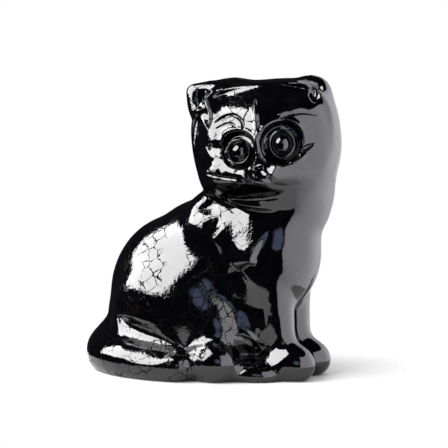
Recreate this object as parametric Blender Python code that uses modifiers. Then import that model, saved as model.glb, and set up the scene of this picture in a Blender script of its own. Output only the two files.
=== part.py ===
"""A sitting cat figurine in glazed ceramic, as the castings that are luted together to make it.

The cat's chest faces -Y and its right side is -X. Its head is turned to its right.
Each casting starts as a few overlapping balls and limbs, which a voxel remesh fuses and a smoothing rounds off.
"""

from math import radians

import bmesh
import bpy
from mathutils import Matrix, Vector

HEIGHT = 0.100  # floor to the top of the higher ear, in metres
# Every size and place below is in millimetres of a figurine about that tall, and is scaled to it at the end.
WALL = 4.0  # of the hollow castings
SEAM = 0.3  # the slip line between two castings
AIR_HOLE = 1.5  # radius of the hole that lets a casting's air out in the kiln

HEAD_CENTRE = Vector((-2.0, -21.5, 77.5))
HEAD_TURN = 71.0  # degrees, from facing -Y towards the cat's right
HEAD_ROLL = 7.0  # degrees, the right ear lower than the left

# radius and height of the eye's outline, from the top of its bead, over its ring, to its back
EYE_PROFILE = [
    (0, 2.5), (0.9, 2.35), (1.6, 1.9), (2.1, 1.2), (2.3, 0.7), (2.9, 0.65),
    (3.4, 1.0), (3.8, 1.15), (4.2, 0.95), (4.4, 0.4), (4.4, -1.6), (0, -1.6),
]
EYE_SIZES = {"right": 0.93, "left": 1.08}
# left and up from the head's centre, yaw, pitch and sink of what is sprigged on the face
EYE_PLACES = {"right": (-6.6, -2.4, -12, 2, 0.1), "left": (7.0, -1.5, 12, 2, 0.1)}
NOSE_RADII = (3.3, 2.5, 1.8)
NOSE_PLACE = (0.2, -7.9, 0, 10, 0.4)

VOXEL = 1.1

GLAZE_BLACK = (0.012, 0.012, 0.014, 1.0)


def head_matrix():
    """Turns the head's own directions, in which it faces -Y, to the figurine's."""
    turn = Matrix.Rotation(radians(-HEAD_TURN), 3, "Z")
    roll = Matrix.Rotation(radians(-HEAD_ROLL), 3, "Y")
    return turn @ roll


def head_point(left, forward, up):
    """A point given in the head's own directions, from its centre."""
    return HEAD_CENTRE + head_matrix() @ Vector((left, -forward, up))


def ball(centre, radii, turn=None, square=2.0, steps=28):
    """An ellipsoid. With square over 2 its sides are flatter and its corners fuller."""
    form = bmesh.new()
    bmesh.ops.create_uvsphere(form, u_segments=2 * steps, v_segments=steps, radius=1.0)
    power = 2.0 / square
    for vert in form.verts:
        vert.co = Vector([abs(c) ** power * (1 if c >= 0 else -1) for c in vert.co])
    turn = (turn or Matrix.Identity(3)).to_4x4()
    form.transform(Matrix.Translation(centre) @ turn @ Matrix.Diagonal((*radii, 1)))
    return form


def head_ball(centre, radii, square=2.0, tilt=0.0):
    """A ball whose centre and radii are in the head's own directions, tilted about its facing direction."""
    turn = head_matrix() @ Matrix.Rotation(radians(tilt), 3, "Y")
    return ball(head_point(*centre), radii, turn, square)


def limb(points, radii):
    """A round limb through the points, with its own radius at each, and round ends."""
    curve = bpy.data.curves.new("limb", "CURVE")
    curve.dimensions = "3D"
    curve.bevel_depth = 1.0
    curve.bevel_resolution = 6
    curve.use_fill_caps = True
    spline = curve.splines.new("BEZIER")
    spline.bezier_points.add(len(points) - 1)
    for knot, place, radius in zip(spline.bezier_points, points, radii):
        knot.co = place
        knot.radius = radius
        knot.handle_left_type = knot.handle_right_type = "AUTO"
    helper = bpy.data.objects.new("limb", curve)
    form = bmesh.new()
    form.from_mesh(bpy.data.meshes.new_from_object(helper))
    bmesh.ops.remove_doubles(form, verts=form.verts, dist=0.001)
    bmesh.ops.recalc_face_normals(form, faces=form.faces)
    bpy.data.objects.remove(helper)
    for place, radius in ((points[0], radii[0]), (points[-1], radii[-1])):
        add(form, ball(place, (radius, radius, radius)))
    return form


def add(form, other):
    """Puts a second form's faces into the first."""
    mesh = bpy.data.meshes.new("form")
    other.to_mesh(mesh)
    other.free()
    form.from_mesh(mesh)
    bpy.data.meshes.remove(mesh)


def evaluated(obj):
    """The object's mesh with its modifiers applied."""
    return bpy.data.meshes.new_from_object(obj.evaluated_get(bpy.context.evaluated_depsgraph_get()))


def apply_modifiers(obj):
    bpy.context.view_layer.update()
    obj.data = evaluated(obj)
    obj.modifiers.clear()


def fused(name, forms, rounding, faces, collection, voxel=VOXEL):
    """One closed skin around all the forms. rounding is the number of smoothing steps."""
    whole = bmesh.new()
    for form in forms:
        add(whole, form)
    mesh = bpy.data.meshes.new(name)
    whole.to_mesh(mesh)
    whole.free()
    obj = bpy.data.objects.new(name, mesh)
    collection.objects.link(obj)
    remesh = obj.modifiers.new("Fuse", "REMESH")
    remesh.mode = "VOXEL"
    remesh.voxel_size = voxel
    smooth = obj.modifiers.new("Round", "SMOOTH")
    smooth.factor = 0.5
    smooth.iterations = rounding
    apply_modifiers(obj)
    thin = obj.modifiers.new("Thin", "DECIMATE")
    thin.ratio = min(1.0, faces / (2 * len(obj.data.polygons)))
    apply_modifiers(obj)
    return obj


def body_forms():
    hips = ball((0, 10.8, 23.5), (20.5, 24, 26.5))
    seat = ball((0, 16, 17), (17, 20.5, 16))
    back = ball((0, -1.5, 33.4), (17, 24.5, 23))
    nape = ball((-4, -6, 47), (13, 13, 13.5))
    chest = ball((0, -22, 40), (15, 16.5, 20))
    ruff = ball((3, -25, 60.5), (15.5, 17, 20))
    belly = ball((0, -10, 17), (14, 18, 15))
    tail_root = limb([(-2, 25, 14), (-12, 24, 11), (-18.5, 15, 10), (-20.5, 5, 9)], [7, 6.5, 6, 5])
    forms = [hips, seat, back, nape, chest, ruff, belly, tail_root]
    for side in (-1, 1):
        thigh = ball((side * 13, 8, 21), (10.5, 20, 19))
        knee = ball((side * 13.5, -7, 14), (7.5, 10.5, 13))
        shoulder = ball((side * 7.5, -20, 36), (7.8, 9.5, 18))
        elbow = ball((side * 8.5, -20, 17), (5.5, 6.5, 9))
        forms += [thigh, knee, shoulder, elbow]
    return forms


def body_space():
    """The room inside the trunk, a wall's thickness from its skin, clear of the head and the legs."""
    return [
        ball((0, 10, 26.5), (20.5 - WALL, 24.5 - WALL, 25 - WALL - 4)),
        ball((0, -2, 33), (17 - WALL, 22 - WALL, 23 - WALL)),
        ball((0, -12, 42), (8, 8, 9)),
    ]


def head_forms():
    skull = head_ball((-0.3, 0, -0.7), (23.5, 18, 18.2), 3.0)
    jaw = head_ball((-0.8, -1, -8.5), (22.3, 17, 12), 3.2)
    ear_root = head_ball((-10.5, -3, 14.3), (8.5, 7, 5.2), 2.3)
    muzzle = head_ball((0, 13.5, -9), (9.5, 7, 6))
    bridge = head_ball((0, 14, 0), (4, 5, 9))
    chin = head_ball((0, 12, -14), (6, 5.5, 4))
    return [skull, jaw, ear_root, muzzle, bridge, chin]


def head_space():
    return [head_ball((0, 0, -2), (23.5 - WALL, 17.5 - WALL, 19 - WALL), 2.4)]


def ear_forms(side):
    if side < 0:
        return [head_ball((-16.3, -2.5, 10.4), (8, 5.2, 9.3), 2.2, -41), head_ball((-22.4, -2.5, 16.3), (3, 2.8, 3))]
    return [head_ball((15, -2.5, 9.6), (7, 5.2, 8.4), 2.3, 20)]


def ear_hollow(side):
    """What the ear's cup is scooped out with. The right cup is wide, the left one a narrow leaf."""
    if side < 0:
        return [head_ball((-17.8, 2.2, 12.5), (4.2, 3.2, 7.2), 2.0, -41)]
    return [head_ball((18.3, 2.2, 12.5), (1.6, 3.2, 5.2), 2.0, 4)]


def tail_forms():
    path = [(1, 24.5, 16), (-5, 32, 7.5), (-13.5, 31, 5.4), (-21.5, 23, 5), (-25, 10, 4.8), (-24.5, -1, 4.6)]
    return [limb(path, [9, 8, 7.2, 6.8, 6.3, 5.7])]


def front_leg_forms(side):
    leg = limb([(side * 6, -25, 36), (side * 5.6, -26.6, 22), (side * 5.2, -28.6, 8)], [8.4, 6, 4.7])
    paw = ball((side * 5.6, -31, 5.0), (6.6, 9.8, 7.2))
    return [leg, paw]


def hind_paw_forms(side):
    return [ball((side * 19.5, -10.5, 5.8), (6.5, 9.0, 7.4))]


def plinth_forms():
    return [ball((0, -2.5, 1), (20, 30, 6.4), None, 3.5)]


def turned(name, profile, size, steps, collection):
    """A turned piece about its Z, from (radius, height) points that run down from the axis and back to it."""
    form = bmesh.new()
    verts = [form.verts.new((radius * size, 0, height * size)) for radius, height in profile]
    for pair in zip(verts, verts[1:]):
        form.edges.new(pair)
    obj = plain(name, form, collection)
    screw = obj.modifiers.new("Turn", "SCREW")
    screw.steps = screw.render_steps = steps
    screw.use_merge_vertices = True
    screw.merge_threshold = 0.0001
    return obj


def on_face(head, left, up, yaw, pitch, sink):
    """Where a sprig goes: it slides back until it meets the face, sinks in a little, and its Z points out."""
    start = head_point(left, 40, up)
    back = head_matrix() @ Vector((0, 1, 0))
    place = head.ray_cast(start, back)[1] + back * sink
    out = Matrix.Rotation(radians(yaw), 3, "Z") @ Matrix.Rotation(radians(90 - pitch), 3, "X")
    return Matrix.Translation(place) @ (head_matrix() @ out).to_4x4()


def plain(name, form, collection):
    """The form as an object, unfused."""
    mesh = bpy.data.meshes.new(name)
    form.to_mesh(mesh)
    form.free()
    obj = bpy.data.objects.new(name, mesh)
    collection.objects.link(obj)
    return obj


def swollen(obj, gap, tools):
    """A copy of the object, its skin moved out by the gap."""
    copy = obj.copy()
    copy.data = obj.data.copy()
    tools.objects.link(copy)
    swell = copy.modifiers.new("Swell", "DISPLACE")
    swell.mid_level = 0
    swell.strength = gap
    apply_modifiers(copy)
    return copy


def cut(obj, cutter, operation="DIFFERENCE"):
    boolean = obj.modifiers.new("Cut", "BOOLEAN")
    boolean.operation = operation
    boolean.solver = "EXACT"
    boolean.object = cutter
    apply_modifiers(obj)


def glaze(obj, colour, roughness=0.15):
    """The piece's own coat of gloss glaze."""
    material = bpy.data.materials.new(obj.name.replace("_", " ") + " glaze")
    material.use_nodes = True
    shader = material.node_tree.nodes["Principled BSDF"]
    shader.inputs["Base Color"].default_value = colour
    shader.inputs["Roughness"].default_value = roughness
    obj.data.materials.clear()
    obj.data.materials.append(material)


def main():
    for obj in list(bpy.data.objects):
        bpy.data.objects.remove(obj)
    figurine = bpy.data.collections.new("Cat figurine")
    tools = bpy.data.collections.new("Tools")
    for collection in (figurine, tools):
        bpy.context.scene.collection.children.link(collection)

    body = fused("body_shell", body_forms(), 22, 3000, figurine)
    head = fused("head_shell", head_forms(), 14, 2000, figurine)
    tail = fused("tail", tail_forms(), 8, 700, figurine)
    plinth = fused("plinth", plinth_forms(), 6, 500, figurine)
    legs, paws, face_sockets = [], [], []
    for side, word in ((-1, "right"), (1, "left")):
        legs.append(fused(f"front_leg_{word}", front_leg_forms(side), 8, 560, figurine))
        paws.append(fused(f"hind_paw_{word}", hind_paw_forms(side), 6, 340, figurine))
        ear = fused(f"ear_{word}", ear_forms(side), 4, 360, figurine, 0.7)
        face_sockets.append(swollen(ear, SEAM, tools))
        cut(ear, fused("scoop", ear_hollow(side), 2, 160, tools, 0.5))
        eye = turned(f"eye_{word}", EYE_PROFILE, EYE_SIZES[word], 20, figurine)
        eye.matrix_world = on_face(head, *EYE_PLACES[word])
        face_sockets.append(swollen(eye, SEAM, tools))
    nose = plain("nose", ball((0, 0, 0), NOSE_RADII, None, 2.4, 9), figurine)
    nose.matrix_world = on_face(head, *NOSE_PLACE)
    face_sockets.append(swollen(nose, SEAM, tools))

    for outer in (head, *legs, *paws, tail, plinth):
        cut(body, swollen(outer, SEAM, tools))
    for socket in face_sockets:
        cut(head, socket)
    for outer in legs + paws + [tail]:
        cut(plinth, swollen(outer, SEAM, tools))
    cut(tail, swollen(paws[0], SEAM, tools))
    for side, leg in zip((-1, 1), legs):
        cut(leg, plain("other half", box((side * (SEAM / 2 - 30), -30, 20), (60, 60, 100)), tools))

    cut(body, fused("body space", body_space(), 10, 500, tools, 1.5))
    cut(head, fused("head space", head_space(), 6, 360, tools, 1.5))
    floor = plain("floor", box((0, 0, -25), (150, 150, 50)), tools)
    hole = plain("air hole", rod((0, 4, 8), AIR_HOLE, 30), tools)
    neck_hole = plain("neck hole", rod((-1, -17, 55), AIR_HOLE, 20), tools)
    for obj in (tail, plinth, body, *legs, *paws):
        cut(obj, floor)
    cut(body, hole)
    cut(plinth, hole)
    cut(body, neck_hole)
    cut(head, neck_hole)

    for obj in figurine.objects:
        glaze(obj, GLAZE_BLACK)
        obj.data.shade_smooth()
    settle(figurine)
    for tool in list(tools.objects):
        bpy.data.objects.remove(tool)


def box(centre, size):
    form = bmesh.new()
    bmesh.ops.create_cube(form, size=1.0)
    form.transform(Matrix.Translation(centre) @ Matrix.Diagonal((*size, 1)))
    return form


def rod(centre, radius, length):
    form = bmesh.new()
    bmesh.ops.create_cone(
        form, cap_ends=True, segments=14, radius1=radius, radius2=radius, depth=length
    )
    form.transform(Matrix.Translation(centre))
    return form


def settle(collection):
    """Stands the pieces on an empty that scales them to metres, the middle of their footprint at the origin."""
    bpy.context.view_layer.update()
    corners = [obj.matrix_world @ vert.co for obj in collection.objects for vert in evaluated(obj).vertices]
    low = Vector([min(corner[axis] for corner in corners) for axis in range(3)])
    high = Vector([max(corner[axis] for corner in corners) for axis in range(3)])
    scale = HEIGHT / (high.z - low.z)
    pieces = list(collection.objects)
    stand = bpy.data.objects.new("stand", None)
    collection.objects.link(stand)
    stand.scale = (scale, scale, scale)
    stand.location = (-scale * (low.x + high.x) / 2, -scale * (low.y + high.y) / 2, -scale * low.z)
    for obj in pieces:
        obj.parent = stand


main()
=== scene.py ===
"""The look of a sitting kitten figurine in black glazed ceramic, built around its packed castings.

The castings are swollen by a coat of glaze, fused into one skin and smoothed, which fills their seams.
The face and the folds of the body are modelled on that skin, and it is parted again into one piece for each
casting. The eyes and the nose are pieces of their own. The face is placed from the castings' eyes and nose,
and the folds of the body from the frame's origin, in the middle of the resting face.
"""

from math import cos, pi, radians, sin

import bmesh
import bpy
import numpy as np
from mathutils import Matrix, Vector
from mathutils.bvhtree import BVHTree


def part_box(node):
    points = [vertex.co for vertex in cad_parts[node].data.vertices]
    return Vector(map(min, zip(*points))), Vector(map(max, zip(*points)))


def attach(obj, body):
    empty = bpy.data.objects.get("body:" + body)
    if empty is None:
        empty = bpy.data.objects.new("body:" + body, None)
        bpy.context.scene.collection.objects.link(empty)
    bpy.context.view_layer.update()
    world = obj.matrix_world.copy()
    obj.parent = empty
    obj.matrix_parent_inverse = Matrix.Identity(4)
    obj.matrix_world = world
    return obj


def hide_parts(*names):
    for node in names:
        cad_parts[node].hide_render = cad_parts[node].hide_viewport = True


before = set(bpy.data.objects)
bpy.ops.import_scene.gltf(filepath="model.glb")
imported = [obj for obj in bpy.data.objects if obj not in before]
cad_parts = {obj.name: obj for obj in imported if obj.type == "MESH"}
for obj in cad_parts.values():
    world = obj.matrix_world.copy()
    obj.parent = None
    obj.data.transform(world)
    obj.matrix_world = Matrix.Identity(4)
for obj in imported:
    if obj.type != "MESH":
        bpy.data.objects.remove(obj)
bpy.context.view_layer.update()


# ---------------------------------------------------------------- sizes of the skin

MM = 0.001
COAT = 0.2 * MM  # how far the glaze stands off the castings
VOXEL = 0.5 * MM
ROUNDING_STEPS = 60  # smoothing steps over the fused skin
PLUG_SHARE = 0.6  # size of the slab over the plinth's air hole, as a share of the plinth's
PLUG_THICKNESS = 2 * MM
PLUG_HEIGHT = 1.6 * MM

BODY_NODES = [
    "body_shell", "head_shell", "ear_right", "ear_left", "front_leg_right", "front_leg_left",
    "hind_paw_right", "hind_paw_left", "tail", "plinth",
]


# ---------------------------------------------------------------- sizes of the face

# Places on the face are in millimetres from the middle between the eyes, seen from in front of it.
HEAD_TURN = 71.0  # degrees, as in the castings
HEAD_ROLL = 7.0
FACE_STEPS = 10  # smoothing steps over the whole face

BRIDGE = 2.2  # how far the bridge of the nose is brought forward
BRIDGE_ROUND = 0.8
ROOF = 0.26  # slope from the bridge to each side
LEFT_ROOF_END = 9.0
LEFT_CHEEK_SLOPE = 0.1  # beyond the end of the roof
TEMPLE_PLACE = -16.5  # the ridge at the right edge of the face
TEMPLE_WIDTH = 2.5
TEMPLE_HEIGHT = 1.5

LEAN = 0.22  # how much the face leans back from the muzzle up
LEAN_FROM = -9.5
BROW_LEAN = 0.4  # more lean from the brow up
BROW_UP = 11.0
CROWN_LEAN = 0.6  # and from the crown up
CROWN_UP = 15.5
UNDERCUT = 0.6  # slope of the jaw's underside, back from its top to its rim
JAW_UP = -11.0
RIM_UP = -16.5
RIM_WIDTH = 2.0
RIM_SLOPE = 0.54  # forward again, below the rim

# Spans are where a share starts from 0, becomes 1, leaves 1 and is 0 again.
THROAT_UP = (-29, -25, -13, -9)
THROAT_STEPS = 160
CROWN_STEPS = 140
CHIN_UP = (-24, -20, -11.5, -9.5)
CHIN_STEPS = 45
MUZZLE = ((0, -8), (8, 6))  # centre and radii
MUZZLE_STEPS = 20
LEFT_EAR_STEPS = 40

EYE_RINGS = {"eye_right": 4.1, "eye_left": 4.75}  # radii of the eyes' rings
SEAT_DEPTH = 1.0  # of the skin under an eye
TROUGH_DEPTH = 1.25  # of the trough round an eye's ring, and how much deeper it is above
TROUGH_EXTRA = 0.5
LID_HEIGHT = 0.15
LID_EXTRA = 0.45
LID_REACH = 2.6  # from the ring to the lid's ridge
LID_WIDTH = 0.8

# path of (left, up), half-width, height (or depth, below 0), share of the path over which each end narrows
FACE_STROKES = [
    ([(-0.6, 15), (-0.5, 10.5), (-0.5, 5.5), (-0.9, 0.6), (-1.3, -3.9)], 1.3, 0.55, 0.2),  # ridge of the nose
    ([(-14.3, 9.2), (-11.1, 10.8), (-7.8, 11.1), (-5.3, 9.1), (-4.7, 6.1)], 0.75, -0.8, 0.3),  # right brow
    ([(-13.9, 7.2), (-11.4, 8.2), (-8.8, 8.4), (-6.6, 6.9)], 0.5, -0.4, 0.3),
    ([(-4.5, 6.7), (-4.1, 9.9), (-2.3, 12.7)], 0.4, -0.3, 0.3),
    ([(6.8, 8.3), (9.9, 9.2), (14.6, 9.3), (18.7, 7.8)], 0.6, -0.45, 0.3),  # left brow
    ([(6.8, 9.6), (10.2, 10.6), (14.6, 10.6)], 1.2, 0.3, 0.3),
    ([(11.4, -3.0), (14.2, -1.9), (17.0, -0.9)], 1.3, -1.0, 0.4),  # outer corner of the left eye
    ([(-18.0, 1.6), (-14.6, 1.0), (-11.6, 1.4)], 2.8, -1.3, 0.3),  # outer corner of the right eye
    ([(-18.6, -6.4), (-12.0, -7.6), (-8.0, -8.4), (-4.0, -9.2)], 5.2, 1.6, 0.15),  # right cheek
    ([(-17.9, -6.9), (-12.4, -8.4), (-6.5, -9.2), (-2.6, -10.8)], 0.6, -0.5, 0.15),  # fold along it
    ([(-2.6, -3.6), (-1.1, -6.0), (1.0, -8.4), (3.4, -10.8)], 2.3, -1.2, 0.4),  # right side of the nose
    ([(5.6, -4.8), (4.2, -7.4), (2.4, -9.8)], 1.2, 1.0, 0.4),  # left side of the nose
    ([(9.0, -6.0), (12.4, -5.2), (14.6, -3.4)], 1.4, 0.6, 0.4),  # left lower lid
    ([(1.7, -11.4), (3.6, -12.4), (6.6, -13.4)], 0.55, -0.7, 0.3),  # mouth
    ([(-18.6, -13.9), (-15.1, -16.3), (-10.4, -18.2), (-5.2, -19.5), (2, -21)], 1.2, 0.8, 0.3),  # jaw's rim
    ([(7.4, -13.0), (9.4, -11.6), (11.6, -10.2)], 0.9, 0.2, 0.4),  # fold of the left cheek
    ([(-21.0, 19.2), (-19.6, 14.4), (-17.9, 10.6), (-16.9, 7.6)], 1.7, -1.8, 0.4),  # cup of the right ear
    ([(-18.8, 18.9), (-16.9, 14.8), (-15.9, 11.1), (-16.5, 7.8)], 0.8, 0.9, 0.3),  # its rim
    ([(18.4, 19.4), (17.6, 15.8), (18.2, 12.2)], 1.6, -1.6, 0.3),  # slit of the left ear
]
# centre, radii and height
FACE_DOMES = [
    ((-9.5, 6.0), (4.6, 2.2), 0.5),  # right upper lid
    ((9.5, -9.5), (7.5, 4.5), 0.9),  # left cheek
]

# The outline of an eye, from its bead over its dish and its ring to its back: radius and height, in shares of
# the ring's radius.
EYE_OUTLINE = [
    (0, 0.5), (0.22, 0.47), (0.42, 0.36), (0.55, 0.2), (0.61, 0.08), (0.67, 0.03), (0.74, 0.07), (0.82, 0.2),
    (0.88, 0.27), (0.95, 0.26), (1.0, 0.13), (1.0, -0.1), (0.98, -0.35), (0.7, -0.38), (0, -0.38),
]
EYE_SHAPES = {"eye_right": (3.95, 4.15), "eye_left": (4.3, 4.8)}  # half-width and half-height of the ring
EYE_SIDES = 96
NOSE_SIZE = (1.5, 0.6, 1.2)  # half-width, half-depth and half-height
NOSTRIL_PLACE = (0.55, -0.05)  # to each side and up, in shares of the nose's size
NOSTRIL_RADIUS = 0.3
NOSTRIL_DEPTH = 0.45


# ---------------------------------------------------------------- sizes of the body

# Places are in millimetres from the frame's origin.
NECK_UP = (44, 49, 60, 63)
NECK_BACK = (-34, -28, -8, -2)
NECK_STEPS = 320

# as the strokes of the face, but their paths are (back, up), on each side of the trunk
SIDE_STROKES = [
    ([(-14, 38), (-17.5, 31), (-19.5, 26), (-19.5, 20), (-21, 14)], 5.5, -1.0, 0.4),  # in front of the haunch
    ([(-14.6, 15), (-19.1, 12.5), (-20.3, 7.6), (-17.7, 3)], 1.6, -0.7, 0.35),  # round the hind paw
    ([(27, 18), (19, 14.5), (10, 11), (2, 9.5)], 6.5, -1.7, 0.45),  # above the tail
    ([(-8, 47), (-14, 46), (-21, 40)], 11, 2.4, 0.2),  # the shoulder
]
# (left, up), from in front
FRONT_STROKES = [
    ([(2.7, 34), (2.7, 20), (2.7, 4)], 1.4, -1.2, 0.2),  # between the front legs
]


# ---------------------------------------------------------------- sizes of the glaze

GLAZE_DARK = (0.0003, 0.0003, 0.0005, 1)
GLAZE_BROWN = (0.0015, 0.0012, 0.0009, 1)
GLAZE_IOR = 1.55
SCUFF_SIDE = Vector((-0.55, 0.83, 0.1))  # the side whose glaze is crazed and scuffed
CRAZE_CELL = 4.2 * MM
CRAZE_BEND = 1.6 * MM  # how far the lines wander
PINHOLE_CELL = 1.1 * MM
WAVE_DEPTH = 0.16 * MM
PEEL_DEPTH = 0.05 * MM
FLAW_DEPTH = 0.01 * MM


# ---------------------------------------------------------------- sizes of the stage

VIEW_AZIMUTH = -62.0
VIEW_ELEVATION = 8.0
VIEW_DISTANCE = 0.909
LENS = 220
AIM_HEIGHT = 0.0492  # where the camera points
AIM_RIGHT = 0.0032
FLOOR_RADIUS = 0.064
FLOOR_GREY = (0.3, 0.3, 0.3, 1)

# azimuths are from the camera's
KEY_PLACE = (-78, 37)  # azimuth and elevation
KEY_DISTANCE = 0.6
KEY_SIZE = (0.82, 0.64)
KEY_RADIANCE = 15.5
KEY_AIM_HEIGHT = 0.05

# azimuth, elevation, inner and outer angles
WALL_PLACE = (97, 0, 79, 81)
WALL_BRIGHTEST = (70, 10, 20, 100)
CEILING_PLACE = (60, 90, 40, 44)
GLOW_PLACE = (2, 16, 0, 15)

WHITE = (1, 1, 1, 1)
FILL = (2.7, 2.7, 2.7, 1)
DARK = (0.015, 0.015, 0.022, 1)
WALL = (3.4, 3.4, 3.6, 1)
WALL_DIM = (0.9, 0.9, 0.95, 1)
GLOW = (0.9, 1.1, 1.8, 1)


# ---------------------------------------------------------------- meshes

def mesh_arrays(mesh):
    """Corner positions, and the edges as index pairs."""
    co = np.empty(len(mesh.vertices) * 3)
    mesh.vertices.foreach_get("co", co)
    edges = np.empty(len(mesh.edges) * 2, int)
    mesh.edges.foreach_get("vertices", edges)
    return co.reshape(-1, 3), edges.reshape(-1, 2)


def vertex_normals(mesh):
    normals = np.empty(len(mesh.vertices) * 3)
    mesh.vertex_normals.foreach_get("vector", normals)
    return normals.reshape(-1, 3)


def set_positions(mesh, co):
    mesh.vertices.foreach_set("co", np.ascontiguousarray(co, np.float32).ravel())
    mesh.update()


def relaxed(co, edges, steps, share=1.0):
    """Each point moves half of the way, or a share of that, to the middle of its neighbours, at each step."""
    amount = np.broadcast_to(np.reshape(0.5 * share, (-1, 1)), (len(co), 1))
    edges = edges[(amount[edges[:, 0], 0] > 0) | (amount[edges[:, 1], 0] > 0)]
    used, edges = np.unique(edges, return_inverse=True)
    edges = edges.reshape(-1, 2)
    count = np.bincount(edges.ravel(), minlength=len(used))[:, None]
    first, second = edges[:, 0], edges[:, 1]
    amount = amount[used]
    part = co[used]
    for _ in range(steps):
        total = np.empty_like(part)
        for axis in range(3):
            total[:, axis] = np.bincount(first, part[second, axis], len(part))
            total[:, axis] += np.bincount(second, part[first, axis], len(part))
        part = part + amount * (total / count - part)
    co = co.copy()
    co[used] = part
    return co


def step(low, high, value):
    """0 below low, 1 above high, smooth between."""
    t = np.clip((value - low) / (high - low), 0, 1)
    return t * t * (3 - 2 * t)


def within(span, value):
    """1 between the span's two middle values, 0 outside its ends, smooth between."""
    start, whole, last, end = span
    return step(start, whole, value) * (1 - step(last, end, value))


def curved(points, pieces=8):
    """A smooth path through the points, which are pairs, with that many pieces between each two."""
    points = np.array(points, float)
    padded = np.vstack([2 * points[0] - points[1], points, 2 * points[-1] - points[-2]])
    path = []
    for a, b, c, d in zip(padded, padded[1:], padded[2:], padded[3:]):
        for t in np.arange(pieces) / pieces:
            path.append(b + 0.5 * t * (c - a + t * (2 * a - 5 * b + 4 * c - d + t * (3 * (b - c) + d - a))))
    return np.array(path + [points[-1]])


def stroke(at, points, width, ends):
    """1 along a smooth path, falling to 0 at the width to each side. Its ends narrow over that share."""
    path = curved(points)
    best = np.full(len(at), np.inf)
    along = np.zeros(len(at))
    for number, (a, b) in enumerate(zip(path, path[1:])):
        run = b - a
        t = np.clip(((at - a) @ run) / (run @ run), 0, 1)
        off = at - a - t[:, None] * run
        distance = np.hypot(off[:, 0], off[:, 1])
        nearer = distance < best
        best = np.where(nearer, distance, best)
        along = np.where(nearer, (number + t) / (len(path) - 1), along)
    taper = np.minimum(1, np.minimum(along, 1 - along) / ends)
    reach = width * np.sqrt(np.maximum(taper, 0.02))
    return np.clip(1 - (best / reach) ** 2, 0, 1) ** 2


def from_centre(at, centre, radii):
    """How far each place is from the centre of an oval, where 1 is its rim."""
    off = (at - np.array(centre)) / np.array(radii)
    return np.hypot(off[:, 0], off[:, 1])


# ---------------------------------------------------------------- skin

def plug():
    """A slab inside the plinth, over its air hole, so that the skin has no inside."""
    low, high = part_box("plinth")
    form = bmesh.new()
    bmesh.ops.create_cube(form, size=1.0)
    size = (high - low) * PLUG_SHARE
    centre = (low + high) / 2
    centre.z = low.z + PLUG_HEIGHT
    form.transform(Matrix.Translation(centre) @ Matrix.Diagonal((size.x, size.y, PLUG_THICKNESS, 1)))
    return form


def fused_skin():
    """One closed skin around all the castings, as a mesh."""
    whole = plug()
    for name in BODY_NODES:
        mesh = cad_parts[name].data.copy()
        co, _ = mesh_arrays(mesh)
        set_positions(mesh, co + COAT * vertex_normals(mesh))
        whole.from_mesh(mesh)
        bpy.data.meshes.remove(mesh)
    mesh = bpy.data.meshes.new("skin")
    whole.to_mesh(mesh)
    whole.free()
    helper = bpy.data.objects.new("skin", mesh)
    bpy.context.scene.collection.objects.link(helper)
    remesh = helper.modifiers.new("Fuse", "REMESH")
    remesh.mode = "VOXEL"
    remesh.voxel_size = VOXEL
    bpy.context.view_layer.update()
    skin = bpy.data.meshes.new_from_object(helper.evaluated_get(bpy.context.evaluated_depsgraph_get()))
    bpy.data.objects.remove(helper)
    co, edges = mesh_arrays(skin)
    set_positions(skin, relaxed(co, edges, ROUNDING_STEPS))
    return skin


def shape_body(mesh):
    """Blends the neck into the shoulders, and models the folds of haunches, shoulders and front legs."""
    co, edges = mesh_arrays(mesh)
    x, y, z = (co / MM).T
    neck = within(NECK_UP, z) * within(NECK_BACK, y) * (1 - step(0, 6, x))
    co = relaxed(co, edges, NECK_STEPS, neck)
    set_positions(mesh, co)
    normals = vertex_normals(mesh)
    x, y, z = (co / MM).T
    raised = np.zeros_like(co)
    for side in (-1, 1):
        visible = step(-0.1, 0.2, side * normals[:, 0]) * step(4, 8, side * x)
        for points, width, height, ends in SIDE_STROKES:
            raised[:, 0] += side * visible * height * stroke(np.c_[y, z], points, width, ends)
    visible = step(-0.1, 0.2, -normals[:, 1]) * step(20, 26, -y)
    for points, width, height, ends in FRONT_STROKES:
        raised[:, 1] -= visible * height * stroke(np.c_[x, z], points, width, ends)
    set_positions(mesh, co + raised * MM)


# ---------------------------------------------------------------- face

def head_axes():
    """The head's left, forward and up directions, as rows."""
    turn = Matrix.Rotation(radians(-HEAD_TURN), 3, "Z") @ Matrix.Rotation(radians(-HEAD_ROLL), 3, "Y")
    return np.array([turn @ Vector(way) for way in ((1, 0, 0), (0, -1, 0), (0, 0, 1))])


def middle(node):
    low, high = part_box(node)
    return np.array((low + high) / 2)


def face_places(co):
    """Each point's left, forward and up, in millimetres from the middle between the eyes."""
    return (co - (middle("eye_right") + middle("eye_left")) / 2) @ head_axes().T / MM


def facing_forward(mesh):
    """For each point, 1 where the surface faces as the face does, and -1 where it faces away from it."""
    return vertex_normals(mesh) @ head_axes()[1]


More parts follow.
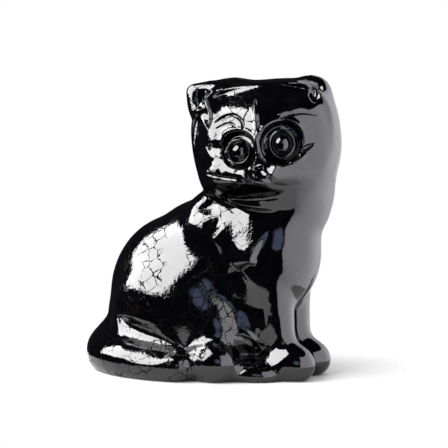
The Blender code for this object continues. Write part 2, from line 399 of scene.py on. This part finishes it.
def shape_head(mesh):
    """The planes of the face: a roof that slopes to both sides of the bridge, and leans back."""
    co, edges = mesh_arrays(mesh)
    left, forward, up = face_places(co).T
    ear_root = step(10, 15, up) * step(12, 19, -left)
    front = step(0.1, 0.6, facing_forward(mesh)) * step(-22, -18, up) * (forward > -12) * (1 - ear_root)

    off_bridge = np.sqrt(left**2 + BRIDGE_ROUND)
    temple = TEMPLE_HEIGHT * np.exp(-((left - TEMPLE_PLACE) / TEMPLE_WIDTH) ** 2)
    right_roof = BRIDGE - ROOF * off_bridge + temple
    left_roof = BRIDGE - ROOF * np.minimum(off_bridge, LEFT_ROOF_END)
    left_roof -= LEFT_CHEEK_SLOPE * np.maximum(left - LEFT_ROOF_END, 0)
    roof = np.where(left < 0, right_roof, left_roof)

    lean = LEAN * np.maximum(up, LEAN_FROM)
    lean += BROW_LEAN * np.maximum(up - BROW_UP, 0)
    lean += CROWN_LEAN * np.maximum(up - CROWN_UP, 0)
    jaw = 1 - step(0, 9, left)
    lean += jaw * UNDERCUT * np.clip(JAW_UP - up, 0, JAW_UP - RIM_UP)
    lean -= jaw * RIM_SLOPE * np.clip(RIM_UP - up, 0, RIM_WIDTH)
    co = co + (front * (roof - lean) * MM)[:, None] * head_axes()[1]

    co = relaxed(co, edges, FACE_STEPS, (forward > -30) & (up > -26))
    crown = step(12, 16, up) * (forward > -18) * (1 - step(9, 13, np.abs(left)))
    co = relaxed(co, edges, CROWN_STEPS, crown)
    throat = step(3, 12, left) * within(THROAT_UP, up) * step(-26, -22, forward)
    set_positions(mesh, relaxed(co, edges, THROAT_STEPS, throat))


def refine_face(mesh):
    """Halves the edges of the face, so that fine strokes can be carved there."""
    co, _ = mesh_arrays(mesh)
    left, forward, up = face_places(co).T
    wanted = (np.abs(left) < 24) & (forward > -14) & (up > -22) & (facing_forward(mesh) > -0.1)
    form = bmesh.new()
    form.from_mesh(mesh)
    form.verts.ensure_lookup_table()
    form.edges.ensure_lookup_table()
    chosen = [edge for edge in form.edges if wanted[edge.verts[0].index] and wanted[edge.verts[1].index]]
    bmesh.ops.subdivide_edges(form, edges=chosen, cuts=1, use_grid_fill=True, smooth=0.3)
    form.to_mesh(mesh)
    form.free()
    mesh.update()


def eye_socket(at, name, ring):
    """How far the skin is raised round an eye: under its ring, in the trough round it and along its lids."""
    centre = face_places(middle(name)[None])[0]
    off = at - centre[[0, 2]]
    reach = np.hypot(off[:, 0], off[:, 1])
    above = step(-0.2, 0.8, off[:, 1] / np.maximum(reach, 0.1))
    reach = reach - ring
    under_ring = 1 - step(-0.9, 0.2, reach)
    trough = (1 - under_ring) * (1 - step(1.0, 1.9 + 0.5 * above, reach))
    lid = np.exp(-((reach - LID_REACH - 0.4 * above) / LID_WIDTH) ** 2)
    sunk = SEAT_DEPTH * under_ring + (TROUGH_DEPTH + TROUGH_EXTRA * above) * trough
    return (LID_HEIGHT + LID_EXTRA * above) * lid - sunk


def carve_face(mesh):
    """The eyes' sockets and lids, the brows, the nose's ridge, the mouth, the cheeks and the jaw's rim."""
    co, edges = mesh_arrays(mesh)
    normals = vertex_normals(mesh)
    left, forward, up = face_places(co).T
    at = np.c_[left, up]
    visible = step(0.05, 0.3, facing_forward(mesh)) * (forward > -22)

    raised = np.zeros(len(co))
    for name, ring in EYE_RINGS.items():
        raised += eye_socket(at, name, ring)
    for points, width, height, ends in FACE_STROKES:
        raised += height * stroke(at, points, width, ends)
    for centre, radii, height in FACE_DOMES:
        raised += height * np.clip(1 - from_centre(at, centre, radii) ** 2, 0, 1) ** 2
    co = co + (raised * visible * MM)[:, None] * normals

    chin = (1 - step(6, 12, left)) * within(CHIN_UP, up) * visible
    co = relaxed(co, edges, CHIN_STEPS, chin)
    co = relaxed(co, edges, MUZZLE_STEPS, from_centre(at, *MUZZLE) < 1)
    left_ear = step(13, 15, left) * step(9, 11, up)
    set_positions(mesh, relaxed(co, edges, LEFT_EAR_STEPS, left_ear))


# ---------------------------------------------------------------- pieces

def glazed(name, form, material):
    """Makes the form into a smooth piece that stands for the casting of that name, and returns its mesh."""
    mesh = bpy.data.meshes.new(name + "_glazed")
    form.to_mesh(mesh)
    form.free()
    mesh.shade_smooth()
    mesh.materials.append(material)
    piece = bpy.data.objects.new(name + "_glazed", mesh)
    bpy.context.scene.collection.objects.link(piece)
    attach(piece, "root")
    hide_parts(name)
    return mesh


def nearest_casting(skin):
    """For each face of the skin, the number of the casting it lies on."""
    verts, faces, owner = [], [], []
    for number, name in enumerate(BODY_NODES):
        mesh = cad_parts[name].data
        base = len(verts)
        verts.extend(vert.co for vert in mesh.vertices)
        for face in mesh.polygons:
            faces.append([base + i for i in face.vertices])
            owner.append(number)
    tree = BVHTree.FromPolygons(verts, faces)
    return np.array([owner[tree.find_nearest(face.center)[2]] for face in skin.polygons])


def part_skin(skin, material):
    """Parts the skin into one closed piece for each casting, and keeps the shading even across the joins."""
    normals = vertex_normals(skin)
    owner = nearest_casting(skin)
    for number, name in enumerate(BODY_NODES):
        form = bmesh.new()
        form.from_mesh(skin)
        layer = form.verts.layers.int.new("whole")
        for vert in form.verts:
            vert[layer] = vert.index
        form.faces.ensure_lookup_table()
        other = [form.faces[i] for i in np.flatnonzero(owner != number)]
        bmesh.ops.delete(form, geom=other, context="FACES")
        bmesh.ops.holes_fill(form, edges=[edge for edge in form.edges if edge.is_boundary], sides=0)
        bmesh.ops.triangulate(form, faces=[face for face in form.faces if len(face.verts) > 4])
        whole = [vert[layer] for vert in form.verts]
        mesh = glazed(name, form, material)
        mesh.normals_split_custom_set_from_vertices(normals[whole])


def add_eye(node, material):
    """A ring with a bead in its dish, turned about the casting's own axis, and a little taller than wide."""
    co, _ = mesh_arrays(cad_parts[node].data)
    centre = co.mean(0)
    _, ways = np.linalg.eigh(np.cov((co - centre).T))
    out = Vector(ways[:, 0] * np.sign(ways[:, 0] @ head_axes()[1]))
    top = max((co - centre) @ np.array(out))
    half_width, half_height = EYE_SHAPES[node]
    form = bmesh.new()
    verts = [form.verts.new((radius, 0, height)) for radius, height in curved(EYE_OUTLINE, 5)]
    edges = [form.edges.new(pair) for pair in zip(verts, verts[1:])]
    around = {"cent": (0, 0, 0), "axis": (0, 0, 1), "angle": 2 * pi, "steps": EYE_SIDES}
    bmesh.ops.spin(form, geom=verts + edges, use_merge=True, **around)
    bmesh.ops.remove_doubles(form, verts=form.verts, dist=1e-5)
    side = Vector(head_axes()[2]).cross(out).normalized()
    turn = Matrix((side, out.cross(side), out)).transposed().to_4x4()
    size = Matrix.Diagonal((half_width * MM, half_height * MM, half_height * MM, 1))
    base = Vector(centre) + out * (top - EYE_OUTLINE[0][1] * half_height * MM)
    form.transform(Matrix.Translation(base) @ turn @ size)
    bmesh.ops.recalc_face_normals(form, faces=form.faces)
    glazed(node, form, material)


def add_nose(material, skin):
    """The nose's leather: a rounded pad on the skin, wide above, with a nostril pressed in at each side."""
    form = bmesh.new()
    bmesh.ops.create_uvsphere(form, u_segments=64, v_segments=40, radius=1.0)
    for vert in form.verts:
        x, y, z = vert.co
        x *= 1 + 0.5 * z
        off_nostril = np.hypot(abs(x) - NOSTRIL_PLACE[0], z - NOSTRIL_PLACE[1]) / NOSTRIL_RADIUS
        pit = max(0.0, 1 - off_nostril**2) ** 2
        vert.co = (x, y * (1 - NOSTRIL_DEPTH * pit), z)
    _, ahead, _ = head_axes()
    start = Vector(middle("nose") + ahead * 20 * MM)
    corners = [vert.co for vert in skin.vertices]
    surface = BVHTree.FromPolygons(corners, [face.vertices for face in skin.polygons])
    place, *_ = surface.ray_cast(start, Vector(-ahead))
    turn = Matrix(head_axes().tolist()).transposed() @ Matrix.Diagonal((1, -1, 1))
    size = Matrix.Diagonal((*[half * MM for half in NOSE_SIZE], 1))
    form.transform(Matrix.Translation(place) @ turn.to_4x4() @ size)
    bmesh.ops.recalc_face_normals(form, faces=form.faces)
    glazed("nose", form, material)


# ---------------------------------------------------------------- materials

class Nodes:
    """Short forms for building a node tree. A value may be a number, a tuple or another node's output."""

    def __init__(self, tree, place):
        self.tree = tree
        self.place = tree.nodes.new("ShaderNodeTexCoord").outputs[place]

    def feed(self, node, inputs):
        for name, value in inputs.items():
            if isinstance(value, bpy.types.NodeSocket):
                self.tree.links.new(value, node.inputs[name])
            else:
                node.inputs[name].default_value = value

    def put(self, kind, inputs, **settings):
        node = self.tree.nodes.new("ShaderNode" + kind)
        for name, value in settings.items():
            setattr(node, name, value)
        self.feed(node, inputs)
        return node

    def noise(self, size, detail, roughness=0.5):
        """Soft random spots about that many metres across, from 0 to 1."""
        inputs = {"Vector": self.place, "Scale": 1 / size, "Detail": detail, "Roughness": roughness}
        return self.put("TexNoise", inputs).outputs["Fac"]

    def cells(self, place, size, feature):
        """Distances in a pattern of cells about that many metres across."""
        inputs = {"Vector": place, "Scale": 1 / size}
        return self.put("TexVoronoi", inputs, feature=feature).outputs["Distance"]

    def ramp(self, value, low, high, start=0.0, end=1.0):
        """From start to end, smoothly, as the value goes from low to high."""
        inputs = {"Value": value, "From Min": low, "From Max": high, "To Min": start, "To Max": end}
        return self.put("MapRange", inputs, interpolation_type="SMOOTHSTEP").outputs["Result"]

    def math(self, operation, first, second):
        return self.put("Math", {0: first, 1: second}, operation=operation).outputs["Value"]

    def vector_math(self, operation, first, second, output="Vector"):
        return self.put("VectorMath", {0: first, 1: second}, operation=operation).outputs[output]

    def colour(self, factor, first, second):
        inputs = {"Factor": factor, "A": first, "B": second}
        return self.put("Mix", inputs, data_type="RGBA").outputs["Result"]

    def bump(self, height, depth, **inputs):
        """depth is how far a height of 1 stands out, in metres. inputs may hold the Normal it is added to."""
        return self.put("Bump", {"Height": height, "Distance": depth, **inputs}).outputs["Normal"]


def new_material(name):
    material = bpy.data.materials.new(name)
    material.use_nodes = True
    return material, material.node_tree.nodes["Principled BSDF"]


def glaze_flaws(make, scuffed):
    """1 on the lines of the crazing and in the pinholes, which come in patches of the scuffed side."""
    patch = make.math("MULTIPLY", scuffed, make.ramp(make.noise(9 * MM, 2), 0.38, 0.6))
    inputs = {"Vector": make.place, "Scale": 1 / (2.5 * MM), "Detail": 2.0}
    shift = make.put("TexNoise", inputs).outputs["Color"]
    bend = make.vector_math("MULTIPLY", shift, (CRAZE_BEND, CRAZE_BEND, CRAZE_BEND))
    bent = make.vector_math("ADD", make.place, bend)
    ragged = make.math("MULTIPLY", make.ramp(make.noise(1.6 * MM, 3, 0.7), 0.45, 0.75), 0.07)
    from_line = make.math("SUBTRACT", make.cells(bent, CRAZE_CELL, "DISTANCE_TO_EDGE"), ragged)
    line = make.math("MULTIPLY", make.ramp(from_line, 0.006, 0.03, 1.0, 0.0), patch)
    pinhole = make.ramp(make.cells(bent, PINHOLE_CELL, "F1"), 0.1, 0.22, 1.0, 0.0)
    pinhole = make.math("MULTIPLY", pinhole, patch)
    pinhole = make.math("MULTIPLY", pinhole, make.ramp(make.noise(2.2 * MM, 1), 0.45, 0.58))
    return make.math("MAXIMUM", line, pinhole)


def black_glaze():
    """Thick black gloss, wavy and orange-peeled, brown where it is thin, dull on one side and in flaws."""
    material, shader = new_material("Black glaze")
    make = Nodes(material.node_tree, "Object")
    scuffed = make.ramp(make.vector_math("DOT_PRODUCT", make.place, SCUFF_SIDE, "Value"), -0.016, 0.004)
    flaw = glaze_flaws(make, scuffed)

    thin = make.math("MULTIPLY", make.ramp(make.noise(6 * MM, 4, 0.6), 0.45, 0.75), 0.6)
    smear = make.math("MULTIPLY", make.ramp(make.noise(3 * MM, 3, 0.6), 0.5, 0.8), scuffed)
    uneven = make.ramp(make.noise(14 * MM, 2), 0.3, 0.7, 0.03, 0.07)

    normal = make.bump(make.noise(5 * MM, 1.0), WAVE_DEPTH)
    peel = make.math("MULTIPLY", make.noise(0.9 * MM, 2.0), make.ramp(scuffed, 0, 1, 0.25, 1.0))
    normal = make.bump(peel, PEEL_DEPTH, Normal=normal)
    make.feed(shader, {
        "Base Color": make.colour(make.math("MAXIMUM", thin, flaw), GLAZE_DARK, GLAZE_BROWN),
        "Roughness": make.math("ADD", uneven, make.math("MULTIPLY", smear, 0.05)),
        "Specular IOR Level": make.ramp(flaw, 0.1, 0.9, 0.5, 0.0),
        "IOR": GLAZE_IOR,
        "Normal": make.bump(flaw, -FLAW_DEPTH, Normal=normal),
    })
    return material


# ---------------------------------------------------------------- stage

def direction(azimuth, elevation):
    """From the figurine towards a point at that azimuth, which is 0 in front of its chest, and elevation."""
    a, e = radians(azimuth), radians(elevation)
    return Vector((sin(a) * cos(e), -cos(a) * cos(e), sin(e)))


def add_camera():
    camera = bpy.data.cameras.new("Camera")
    camera.lens = LENS
    camera.clip_start = 0.01
    holder = bpy.data.objects.new("Camera", camera)
    bpy.context.scene.collection.objects.link(holder)
    back = direction(VIEW_AZIMUTH, VIEW_ELEVATION)
    aim = Vector((0, 0, AIM_HEIGHT)) + direction(VIEW_AZIMUTH + 90, 0) * AIM_RIGHT
    holder.location = aim + back * VIEW_DISTANCE
    holder.rotation_euler = back.to_track_quat("Z", "Y").to_euler()
    bpy.context.scene.camera = holder


def add_key():
    """A flat soft light that faces the figurine."""
    light = bpy.data.lights.new("Key", "AREA")
    light.shape = "RECTANGLE"
    light.size, light.size_y = KEY_SIZE
    light.energy = KEY_RADIANCE * pi * KEY_SIZE[0] * KEY_SIZE[1]
    holder = bpy.data.objects.new("Key", light)
    bpy.context.scene.collection.objects.link(holder)
    azimuth, elevation = KEY_PLACE
    out = direction(VIEW_AZIMUTH + azimuth, elevation)
    holder.location = Vector((0, 0, KEY_AIM_HEIGHT)) + out * KEY_DISTANCE
    holder.rotation_euler = out.to_track_quat("Z", "Y").to_euler()


def add_floor():
    """A pale round table top, a little wider than the figurine is tall."""
    form = bmesh.new()
    bmesh.ops.create_circle(form, cap_ends=True, segments=96, radius=FLOOR_RADIUS)
    mesh = bpy.data.meshes.new("Floor")
    form.to_mesh(mesh)
    form.free()
    floor = bpy.data.objects.new("Floor", mesh)
    bpy.context.scene.collection.objects.link(floor)
    material, shader = new_material("Floor")
    shader.inputs["Base Color"].default_value = FLOOR_GREY
    shader.inputs["Roughness"].default_value = 0.9
    shader.inputs["Specular IOR Level"].default_value = 0.0
    mesh.materials.append(material)


def lobe(make, azimuth, elevation, inner, outer):
    """1 in the directions within the inner angle of a given one, falling to 0 at the outer angle."""
    middle_way = direction(VIEW_AZIMUTH + azimuth, elevation)
    near = make.vector_math("DOT_PRODUCT", make.place, middle_way, "Value")
    inputs = {"Value": near, "From Min": cos(radians(outer)), "From Max": cos(radians(inner))}
    return make.put("MapRange", inputs, interpolation_type="SMOOTHERSTEP").outputs["Result"]


def add_world():
    """White behind the figurine, and in what the glaze reflects a dark room with a pale wall on one side."""
    world = bpy.data.worlds.new("Studio")
    bpy.context.scene.world = world
    world.use_nodes = True
    make = Nodes(world.node_tree, "Generated")
    rays = make.put("LightPath", {}).outputs
    room = make.colour(lobe(make, *GLOW_PLACE), DARK, GLOW)
    wall = make.colour(lobe(make, *WALL_BRIGHTEST), WALL_DIM, WALL)
    room = make.colour(lobe(make, *WALL_PLACE), room, wall)
    room = make.colour(lobe(make, *CEILING_PLACE), room, DARK)
    spread = make.colour(rays["Is Diffuse Ray"], WHITE, FILL)
    shade = make.colour(rays["Is Glossy Ray"], spread, room)
    make.feed(world.node_tree.nodes["Background"], {"Color": shade})
    bpy.context.scene.view_settings.view_transform = "Standard"


# ---------------------------------------------------------------- build

add_camera()
add_floor()
add_world()
add_key()

glaze = black_glaze()
skin = fused_skin()
shape_body(skin)
shape_head(skin)
refine_face(skin)
carve_face(skin)
part_skin(skin, glaze)
for node in EYE_SHAPES:
    add_eye(node, glaze)
add_nose(glaze, skin)
